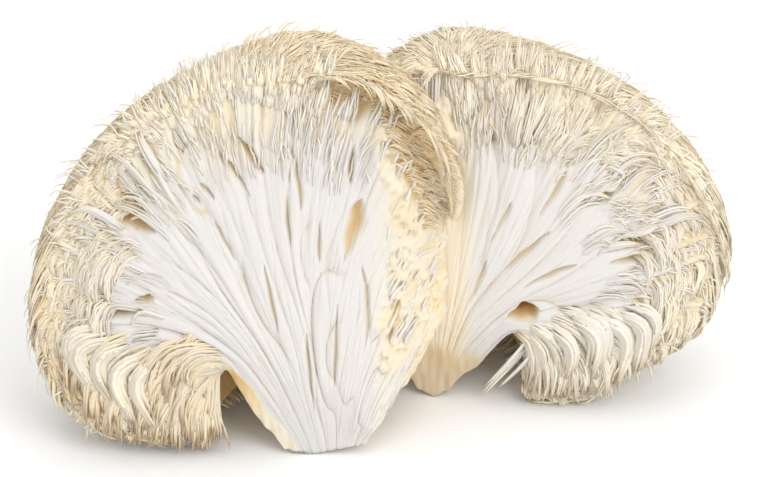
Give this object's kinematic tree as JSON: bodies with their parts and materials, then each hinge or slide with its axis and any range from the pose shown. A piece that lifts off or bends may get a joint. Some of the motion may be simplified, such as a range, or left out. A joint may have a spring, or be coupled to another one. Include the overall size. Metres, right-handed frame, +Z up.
{
  "type": "lion's mane mushroom",
  "caption": "Lion's mane mushroom torn open like a book, its halves still joined, standing on the cut ends of its stems with the torn flesh in front and a coat of hanging spines behind.",
  "frame": {"origin": "middle of the left stem's flat cut end, on the surface that the mushroom stands on", "axes": "+X to the right across the two torn faces, +Y away from them through the depth of the cap, +Z up"},
  "size_m": [0.2126, 0.0956, 0.1184],
  "materials": {
    "flesh": "matt, soft and fibrous: white torn flesh, cream spines with tan tips"
  },
  "bodies": {
    "root": {"fruiting_body": "flesh"}
  },
  "joints": []
}
